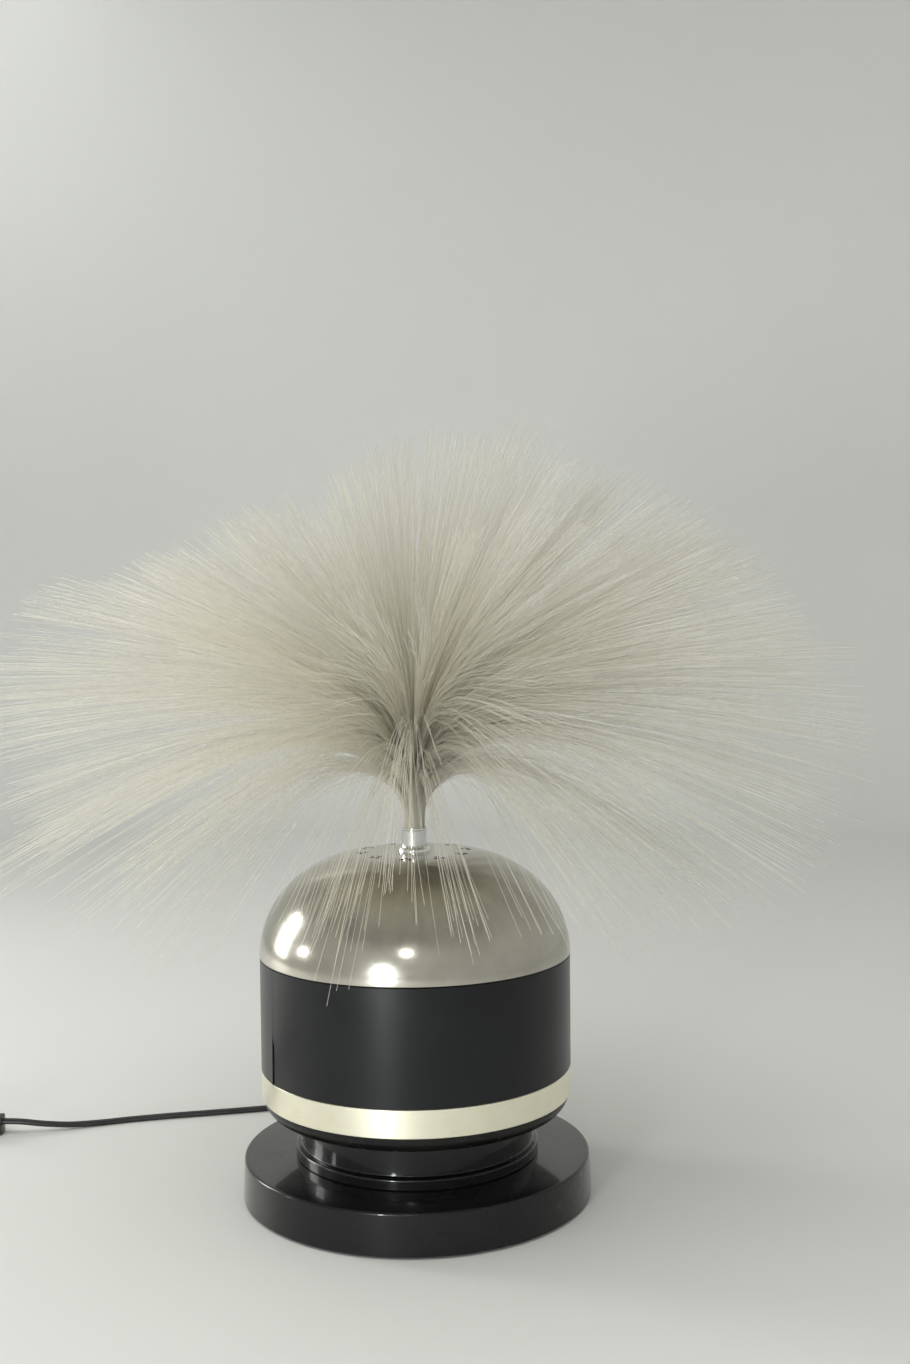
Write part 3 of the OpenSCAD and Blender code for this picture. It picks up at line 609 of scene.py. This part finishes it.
tie_place = (Matrix.Translation((COIL_X * MM, COIL_Y * MM, 0)) @ Matrix.Rotation(math.radians(-60), 4, "Z")
             @ Matrix.Translation((29.1 * MM, 0, 6.4 * MM)))
tie = ribbon_loop("tie_band", (8.4, 5.85, 1.6), (8.95, 6.4, 2.1), 5.6, tie_place, CORD)
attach(tie, "lamp")
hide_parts("cord_tie")

# Strain relief at the neck: inner lip, flange and ribbed taper
bush_profile = [(0, 59), (7, 59), (7, 63), (5, 63), (5, 67.6), (6.1, 67.6), (6.4, 67.9), (6.4, 69.6), (6.1, 70),
                (5.4, 70.2)]
for i in range(5):
    y0 = 71.4 + i * 4.6
    r0 = 5.3 - 0.34 * i
    bush_profile += [(r0, y0), (r0 - 0.1, y0 + 2.6), (r0 - 1.0, y0 + 2.9), (r0 - 1.05, y0 + 4.1)]
bush_profile += [(3.7, 94.4), (3.5, 95), (0, 95)]
bush = lathe("strain_relief", bush_profile, CORD, 48, True, (0, 0, 38.5), "y")
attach(bush, "lamp")
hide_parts("cord_bush")


# ---------------------------------------------------------------- in-line switch and plug
def stadium_outline(length, width, n=16, nose=0.0, nose_w=0.0):
    r, h = width / 2, (length - width) / 2
    pts = []
    for side, a0 in ((1, -90), (-1, 90)):
        arcpts = [(side * h + r * math.cos(math.radians(a0 + 180 * i / n)),
                   r * math.sin(math.radians(a0 + 180 * i / n))) for i in range(n + 1)]
        if nose:
            arcpts = [q for q in arcpts if abs(q[1]) > nose_w / 2 + 0.4]
            half = len(arcpts) // 2
            tip = side * (length / 2 + nose)
            arcpts = arcpts[:half] + [(side * (length / 2 - 0.8), -side * nose_w / 2), (tip, -side * nose_w / 2),
                                      (tip, side * nose_w / 2), (side * (length / 2 - 0.8), side * nose_w / 2)
                                      ] + arcpts[half:]
        pts += arcpts
    return pts


SW = (-304, 108)


def moved(outline, at):
    return [(x + at[0], y + at[1]) for x, y in outline]


def switch_pieces():
    lower = bevelled(prism("switch_lower", moved(stadium_outline(60, 26, 20, 4, 10), SW), 0.2, 7.35, SWITCH),
                     0.0009, 3)
    top = prism("switch_upper", moved(stadium_outline(60, 26, 20), SW), 7.6, 16, SWITCH)
    noses = []
    for s in (-1, 1):
        x0, x1 = sorted((SW[0] + s * 26, SW[0] + s * 34))
        noses.append(prism("n", [(x0, 103), (x1, 103), (x1, 113), (x0, 113)], 7.6, 12, SWITCH))
    top = bevelled(top, 0.0026, 5, 50)
    nose = bevelled(join("noses", noses), 0.0008, 3)
    window = prism("w", moved([(-11.1, -5.4), (11.1, -5.4), (11.1, 5.4), (-11.1, 5.4)], SW), 7.0, 18, SWITCH)
    cut(top, [window])
    top = join("switch_upper", [sharpen(top, 40), nose])
    return lower, top


lower, upper = switch_pieces()
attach(lower, "lamp")
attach(upper, "lamp")
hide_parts("switch_base")
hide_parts("switch_cover")


def rocker_piece():
    """The rocker's dished key, drawn at its tipped rest."""
    top = [(-10 + i, 3.7 + 1.5 * abs(-10 + i) ** 1.7 / 10 ** 1.7) for i in range(21)]
    outline = top[::-1] + [(-10, 1), (-3, -2.2), (3, -2.2), (10, 1)]
    n = len(outline)
    verts = [(x * MM, y * MM, z * MM) for y in (-4.95, 4.95) for x, z in outline]
    faces = [tuple(range(n)), tuple(range(n, 2 * n))[::-1]]
    faces += [(i, n + i, n + (i + 1) % n, (i + 1) % n) for i in range(n)]
    obj = new_object("rocker_key", verts, faces, SWITCH, smooth=False)
    face_outwards(obj)
    bevelled(obj, 0.0005, 3, 40)
    at_pin = Matrix.Translation((SW[0] * MM, SW[1] * MM, 13 * MM))
    obj.data.transform(at_pin @ Matrix.Rotation(math.radians(8), 4, "Y"))
    return obj


rocker = rocker_piece()
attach(rocker, "rocker")
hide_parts("switch_rocker")


def plug_piece():
    """A flat moulded two-pin plug with ribbed grips on its sides."""
    half = [(4.2, 33.4), (4.8, 30), (6.2, 26.5), (9.2, 23.4), (13, 19), (16, 14.4), (17.2, 10.5)]
    for i in range(4):
        y = 9.6 - 2.0 * i
        half += [(17.3, y), (16.7, y - 0.5), (16.7, y - 1.0), (17.3, y - 1.4)]
    half += [(17.4, 1.4), (16.9, 0.0), (15.2, -2.4)]
    outline = [(-411 + x, y) for x, y in half] + [(-411 - x, y) for x, y in half[::-1]]
    obj = prism("plug_moulding", outline[::-1], 0.1, 13.6, CORD)
    bm = bmesh.new()
    bm.from_mesh(obj.data)
    for v in bm.verts:
        y = v.co.y / MM
        thin = 1.0 if y < 10 else max(0.62, 1 - (y - 10) / 58)
        v.co.z = (6.85 + (v.co.z / MM - 6.85) * thin) * MM
    bmesh.ops.recalc_face_normals(bm, faces=bm.faces)
    bm.to_mesh(obj.data)
    bm.free()
    return bevelled(obj, 0.0011, 4, 50)


plug = plug_piece()
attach(plug, "lamp")
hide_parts("plug_body")


# ---------------------------------------------------------------- base and neck
base_profile = ([(0, 21.5), (94.5, 21.5), (94.5, 5.0), (97.4, 5.0), (97.4, 1.2), (100.6, 1.2), (101, 1.6)]
                + [(101 - 0.8 * i / 6, 1.6 + 21.3 * i / 6) for i in range(1, 7)]
                + arc(98.6, 22.9, 1.6, 8, 90, 10) + [(90 - 15 * i, 24.5) for i in range(6)] + [(0, 24.5)])
base = lathe("base_shell", base_profile, GLOSS, 288)
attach(base, "lamp")
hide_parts("base_disc")

neck_profile = ([(63.9, 24.5), (69.9, 24.5), (70.4, 25.0), (70.4, 29.6)] + arc(69.1, 29.6, 1.3, 0, 90, 8)
                + [(68.0, 30.9)]
                + [(66.9 + 0.9 * (1 - math.sin(math.radians(a))), 31.8 - 0.9 * math.cos(math.radians(a)))
                   for a in range(0, 91, 15)]
                + [(66.9, 38), (66.9, 44), (66.9, 50), (0, 50), (0, 47), (63.9, 47)])
neck = lathe("neck_shell", neck_profile, GLOSS, 288)
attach(neck, "lamp")
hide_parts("neck")

# ---------------------------------------------------------------- drum, band, wrap
can_profile = ([(12, 50), (40, 50)] + arc(79.2, 59.4, 9.4, -90, 0, 18) + [(88.6, 75), (88.6, 100), (88.6, 125),
               (88.6, 139.6), (88.3, 139.9), (87.6, 139.9), (87.6, 100)] + arc(79.2, 59.4, 8.4, 0, -90, 14)
               + [(40, 51), (12, 51)])
can = lathe("drum_shell", can_profile, CAN, 288)
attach(can, "lamp")
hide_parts("body_can")


def bent_sheet(name, r_in, r_out, z0, z1, start, end, nz, material, edges=None, swell=None, edge_round=0.18):
    """A sheet bent round the drum from angle start to end in degrees, with shaped ends.
    edges(z) gives how far each end draws back, in mm, and swell(angle, z) moves the sheet outwards."""
    na = 420
    edges = edges or (lambda z: (0, 0))
    swell = swell or (lambda a, z: 0)
    zs = [z0, z0 + edge_round] + [z0 + (z1 - z0) * (i + 1) / (nz + 1) for i in range(nz)] + [z1 - edge_round, z1]
    rounding = {0: edge_round, len(zs) - 1: edge_round}
    verts, index = [], {}
    for layer in (0, 1):
        for i, z in enumerate(zs):
            back0, back1 = edges(z)
            a0 = start + math.degrees(back0 / r_out)
            a1 = end - math.degrees(back1 / r_out)
            for k in range(na + 1):
                a = a0 + (a1 - a0) * k / na
                lift = swell(a, z)
                r = (r_out if layer else r_in) + lift
                if layer and i in rounding:
                    r -= rounding[i]
                ang = math.radians(a)
                index[layer, i, k] = len(verts)
                verts.append((r * MM * math.cos(ang), r * MM * math.sin(ang), z * MM))
    faces = []
    n = len(zs)
    for i in range(n - 1):
        for k in range(na):
            faces.append((index[1, i, k], index[1, i, k + 1], index[1, i + 1, k + 1], index[1, i + 1, k]))
            faces.append((index[0, i, k], index[0, i + 1, k], index[0, i + 1, k + 1], index[0, i, k + 1]))
        for k in (0, na):
            faces.append((index[0, i, k], index[1, i, k], index[1, i + 1, k], index[0, i + 1, k]))
    for i in (0, n - 1):
        for k in range(na):
            faces.append((index[0, i, k], index[0, i, k + 1], index[1, i, k + 1], index[1, i, k]))
    obj = new_object(name, verts, faces, material)
    return sharpen(face_outwards(obj), 40)


def wrap_ends(z):
    """Above 101 mm the two ends all but meet. Below it the right one has drawn back and gapes."""
    open_to = 0.0 if z > 102 else min(1.0, (102 - z) / 5)
    return (0.15 + 2.1 * open_to * (1 - 0.15 * (100 - z) / 25), 0.12)


def wrap_swell(a, z):
    """The sheet is not quite flat on the drum: it lifts near its seam and waves a little."""
    near = math.exp(-abs((a - 207.5)) / 2.6) + math.exp(-abs(a - 567.5) / 2.0)
    low = 1 / (1 + math.exp((z - 103) / 3))
    wave = 0.05 * math.sin(math.radians(a * 5)) * math.sin(z / 11) + 0.04 * math.sin(math.radians(a * 11 + 40))
    return wave + 0.55 * near * low


wrap = bent_sheet("drum_wrap", 88.7, 89.85, 75.35, 139.6, 208, 568, 40, WRAP, wrap_ends, wrap_swell, 0.2)
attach(wrap, "lamp")
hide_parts("body_wrap")

band = bent_sheet("gold_strip", 88.7, 89.55, 59.6, 75.15, 200, 560, 6, GOLD, lambda z: (0.1, 0.1),
                  lambda a, z: 0.03 * math.sin(math.radians(7 * a)), 0.25)
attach(band, "lamp")
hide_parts("gold_band")


# ---------------------------------------------------------------- dome and collar
DOME_Z = 140  # height of the dome's rim
CROWN_R = 26  # radius of the flat crown
OUTER_DOME = (64, 58.5)  # half axes of the quarter ellipse outside, and inside
INNER_DOME = (62.8, 57.3)
VENT_GROUPS = 10
VENT_R = 1.5
VENTS = ((31.8, 2.2), (31.8, -2.2), (27.9, 0))  # the three holes of a group


def dome_arc(axes, angles):
    return [(CROWN_R + axes[0] * math.cos(math.radians(a)), DOME_Z + axes[1] * math.sin(math.radians(a)))
            for a in angles]


def dome_piece():
    """The plated cap: a turned shell with its vents cut through, its inside given the black drum paint as painted
    shade, so that the vents look dark.
    """
    outer = dome_arc(OUTER_DOME, [0.6] + list(range(3, 88, 3)) + [88.5, 90])
    inner = dome_arc(INNER_DOME, range(90, 3, -6))
    profile = ([(87.4, 140.05), (89.6, 140.05), (89.9, 140.3)] + outer + [(17, 198.5), (7.6, 198.5), (7.6, 197.3),
               (17, 197.3)] + inner + [(88.7, 142), (86.4, 142), (86.4, 133), (87.4, 133)])
    obj = lathe("dome_shell", profile, NICKEL, 240)
    cutters = []
    for i in range(VENT_GROUPS):
        turn = math.radians(-99 + 36 * i)
        for x, y in VENTS:
            px, py = x * math.cos(turn) - y * math.sin(turn), x * math.sin(turn) + y * math.cos(turn)
            pin = lathe("pin", [(0, 190), (VENT_R, 190), (VENT_R, 200), (0, 200)], CAN, 20, False, (px, py, 0))
            cutters.append(pin)
    cutter = join("pins", cutters)
    cut(obj, [cutter])
    mesh = obj.data
    mesh.materials.clear()
    mesh.materials.append(NICKEL)
    mesh.materials.append(CAN)
    normals = []
    for poly in mesh.polygons:
        out_r = max(math.hypot(poly.center.x, poly.center.y) / MM - CROWN_R, 0) / OUTER_DOME[0]
        out_z = (poly.center.z / MM - DOME_Z) / OUTER_DOME[1]
        # inside faces get the black paint: painted shade inside the dome, seen through the vents
        poly.material_index = 0 if out_z < 0.02 or out_r ** 2 + out_z ** 2 > 0.985 else 1
        for li in poly.loop_indices:
            v = mesh.vertices[mesh.loops[li].vertex_index].co
            r, z = math.hypot(v.x, v.y) / MM, v.z / MM
            best = None
            for ax, az in (OUTER_DOME, INNER_DOME):
                if z < DOME_Z + 0.4:
                    continue
                q = ((max(r - CROWN_R, 0)) / ax) ** 2 + ((z - DOME_Z) / az) ** 2
                if abs(q - 1) < 0.004 or (r < CROWN_R + 0.5 and abs(z - DOME_Z - az) < 0.05):
                    nr, nz = max(r - CROWN_R, 0) / ax ** 2, (z - DOME_Z) / az ** 2
                    k = max(r * MM, 1e-9)
                    best = Vector((v.x / k * nr, v.y / k * nr, nz)).normalized()
                    if az < 58:
                        best = -best
                    break
            if best is None or best.dot(poly.normal) < 0.9:
                best = poly.normal
            normals.append(best)
    mesh.shade_smooth()
    mesh.normals_split_custom_set([tuple(n) for n in normals])
    return obj


dome = dome_piece()
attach(dome, "dome_unit")
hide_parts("dome")

collar_profile = ([(6.8, 187), (7.5, 187), (7.5, 198.5), (9.5, 198.5), (9.5, 199.6), (9.1, 200.3), (8.0, 200.3),
                   (7.5, 200.7), (7.5, 210.6), (7.2, 211), (6.8, 211)])
collar = lathe("collar_tube", collar_profile, CHROME, 96)
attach(collar, "dome_unit")
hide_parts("collar")


# ---------------------------------------------------------------- fibres
FIBRES = 1750  # in each piece
FIBRE_R = 0.125
BUNDLE_R = 6.25
BUNDLE_Z = 205.0
TUFTS = 150
CLING = 0.55  # how closely a fibre follows its tuft
REACH = 267.0  # no fibre ends further out than this


def fibre_piece(name, count, seed):
    """Fine fibres packed in the collar that fan out, turn over and end in ragged tufts."""
    gen = np.random.default_rng(seed)
    rho = np.sqrt(gen.uniform(0, 1, count))
    phi = gen.uniform(0, 2 * math.pi, count)
    # The fibres cling together in tufts, which share a direction
    t_rho = np.sqrt(np.linspace(0.003, 1, TUFTS))
    t_phi = np.arange(TUFTS) * 2.39996  # the golden angle
    tx, ty = t_rho * np.cos(t_phi), t_rho * np.sin(t_phi)
    x, y = rho * np.cos(phi), rho * np.sin(phi)
    near = np.argmin((x[:, None] - tx) ** 2 + (y[:, None] - ty) ** 2, axis=1)
    jitter = np.random.default_rng(99)
    t_turn = jitter.normal(0, 3.0, TUFTS)
    t_len = jitter.normal(1.0, 0.035, TUFTS)
    t_tone = jitter.uniform(0, 1, TUFTS)
    dir_rho = rho * (1 - CLING) + t_rho[near] * CLING
    dphi = (t_phi[near] - phi + math.pi) % (2 * math.pi) - math.pi
    dir_phi = phi + dphi * CLING * np.minimum(1, rho * 1.6) + gen.normal(0, 0.02, count)
    # Turn of a fibre's end from upright: the outer ones hang below the level
    turn = 4 + 92 * dir_rho ** 0.95 + 34 * np.clip((dir_rho - 0.80) / 0.20, 0, 1) ** 1.5
    turn = np.radians(turn + t_turn[near] + gen.normal(0, 2.4, count))
    length = 219 + 56 * np.sin(np.clip(turn, 0, math.pi / 2)) ** 4
    # Shorter on the left at middle heights, as the photograph shows
    length = length * (1 - 0.13 * np.maximum(0, -np.cos(phi)) * np.maximum(0, np.sin(2 * turn)))
    length = length * t_len[near] * (1 - np.abs(gen.normal(0, 0.035, count)))
    short = gen.uniform(0, 1, count) < 0.06
    length = np.where(short, length * gen.uniform(0.78, 0.97, count), length)
    length = np.where(turn > math.radians(117), length * gen.uniform(0.66, 0.86, count), length)
    rings = 15
    s = np.concatenate([[0.0, 0.05], np.linspace(0.08, 0.32, 8), np.linspace(0.42, 1.0, 5)])
    px = np.zeros((rings, count))
    pz = np.zeros((rings, count))
    fine = 60
    u = np.linspace(0, 1, fine + 1)
    bend_at = 14.0 + 6.0 * (1 - rho)
    stiff = 2.4 + 1.7 * rho
    out_r = np.zeros((fine + 1, count))
    out_z = np.zeros((fine + 1, count))
    out_r[0], out_z[0] = rho * BUNDLE_R, BUNDLE_Z
    total = length + bend_at
    for i in range(fine):
        mid = (u[i] + u[i + 1]) / 2 * total
        w = np.clip((mid - bend_at) / length, 0, 1)
        theta = turn * (1 - (1 - w) ** stiff) + np.sin(turn) * 0.10 * w ** 2
        step = total / fine
        out_r[i + 1] = out_r[i] + step * np.sin(theta)
        out_z[i + 1] = out_z[i] + step * np.cos(theta)
    for i in range(rings):
        f = s[i] * fine
        a = int(min(fine - 1, math.floor(f)))
        px[i] = out_r[a] + (out_r[a + 1] - out_r[a]) * (f - a)
        pz[i] = out_z[a] + (out_z[a + 1] - out_z[a]) * (f - a)
    # A little sideways sweep, so that no fibre lies in a perfect plane
    sweep = gen.normal(0, 0.018, count) + jitter.normal(0, 0.02, TUFTS)[near]
    ang = phi[None, :] + (dir_phi - phi)[None, :] * np.minimum(1, s[:, None] * 3) + sweep[None, :] * s[:, None] ** 2
    pts = np.stack([px * np.cos(ang), px * np.sin(ang), pz], axis=2)
    reach = np.hypot(pts[..., 0], pts[..., 1])
    over = np.maximum(1, reach / REACH)
    pts[..., 0] /= over
    pts[..., 1] /= over
    tangent = np.gradient(pts, axis=0)
    tangent /= np.linalg.norm(tangent, axis=2)[..., None] + 1e-12
    side = np.stack([-np.sin(ang), np.cos(ang), np.zeros_like(ang)], axis=2)
    other = np.cross(tangent, side)
    verts = np.zeros((rings, count, 3, 3))
    for k in range(3):
        a = 2 * math.pi * k / 3
        verts[:, :, k, :] = pts + FIBRE_R * (math.cos(a) * side + math.sin(a) * other)
    verts = (verts.transpose(1, 0, 2, 3).reshape(-1, 3)) * MM
    base = (np.arange(count) * rings * 3)[:, None, None]
    ring = (np.arange(rings - 1) * 3)[None, :, None]
    k = np.arange(3)[None, None, :]
    j = (k + 1) % 3
    quads = np.stack([base + ring + k, base + ring + j, base + ring + 3 + j, base + ring + 3 + k], axis=3)
    quads = quads.reshape(-1, 4)
    mesh = bpy.data.meshes.new(name)
    mesh.vertices.add(len(verts))
    mesh.vertices.foreach_set("co", verts.astype(np.float32).ravel())
    mesh.loops.add(len(quads) * 4)
    mesh.loops.foreach_set("vertex_index", quads.astype(np.int32).ravel())
    mesh.polygons.add(len(quads))
    mesh.polygons.foreach_set("loop_start", np.arange(0, len(quads) * 4, 4, dtype=np.int32))
    mesh.polygons.foreach_set("loop_total", np.full(len(quads), 4, dtype=np.int32))
    mesh.update(calc_edges=True)
    mesh.shade_smooth()
    tone = np.clip(0.5 * t_tone[near] + 0.5 * gen.uniform(0, 1, count), 0, 1)
    attr = mesh.attributes.new("tone", "FLOAT", "POINT")
    attr.data.foreach_set("value", np.repeat(tone, rings * 3).astype(np.float32))
    mesh.materials.append(FIBRE)
    obj = bpy.data.objects.new(name, mesh)
    bpy.context.scene.collection.objects.link(obj)
    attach(obj, "spray_unit")
    return obj


sprays = [fibre_piece(f"fibres_{i}", FIBRES, 20 + i) for i in range(4)]
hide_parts("fibre_spray")


# ---------------------------------------------------------------- studio
def plain(name, color, rough=0.6):
    return basic(name, tuple(c * 0.985 for c in color), color, (rough, rough + 0.08), 0.0, 3.0, 220.0, 0.03, 0.0002)


def backdrop():
    """A pale floor that turns up into a wall all the way round, far behind the lamp."""
    profile = [(0, 0)] + [(r, 0) for r in (200, 500, 900, 1300, 1500)]
    profile += [(1500 + 500 * math.sin(math.radians(a)), 500 - 500 * math.cos(math.radians(a))) for a in
                range(6, 91, 6)] + [(2000, 2600)]
    obj = lathe("backdrop", profile, plain("pale_paper", (0.72, 0.72, 0.70)), 128, False)


backdrop()


def area(name, at, target, size, power, color=(1, 1, 1), size_y=None):
    data = bpy.data.lights.new(name, "AREA")
    data.energy = power
    data.size = size
    data.color = color
    if size_y:
        data.shape = "RECTANGLE"
        data.size_y = size_y
    obj = bpy.data.objects.new(name, data)
    bpy.context.scene.collection.objects.link(obj)
    obj.location = at
    obj.visible_camera = False
    obj.rotation_euler = (Vector(target) - Vector(at)).to_track_quat("-Z", "Y").to_euler()
    return obj


DAY = (1.0, 0.99, 0.965)
area("window_left", (-1.17, 0.47, 0.42), (0, 0, 0.16), 0.30, 6.5, DAY, 0.62)
area("window_front", (-0.56, -1.36, 0.17), (0, 0, 0.12), 0.085, 10.5, (0.95, 0.985, 1.0), 0.30)
area("lamp_front", (-0.16, -1.40, 0.80), (0, 0, 0.16), 0.13, 1.0, DAY)
area("lamp_side", (-1.25, -0.06, 0.34), (0, 0, 0.15), 0.10, 0.8, DAY)
area("ceiling", (-0.35, -0.55, 1.75), (-0.15, -0.25, 0), 1.7, 17, (1.0, 1.0, 0.985)).visible_glossy = False
area("back_fill", (-0.6, 1.45, 1.3), (0.2, 2.0, 0.6), 0.8, 1.5, (0.98, 1.0, 0.98))

world = bpy.data.worlds.new("studio")
world.use_nodes = True
world.node_tree.nodes["Background"].inputs["Color"].default_value = (0.80, 0.82, 0.80, 1)
world.node_tree.nodes["Background"].inputs["Strength"].default_value = 0.42
bpy.context.scene.world = world
bpy.context.scene.view_settings.view_transform = "Standard"
bpy.context.scene.view_settings.look = "None"
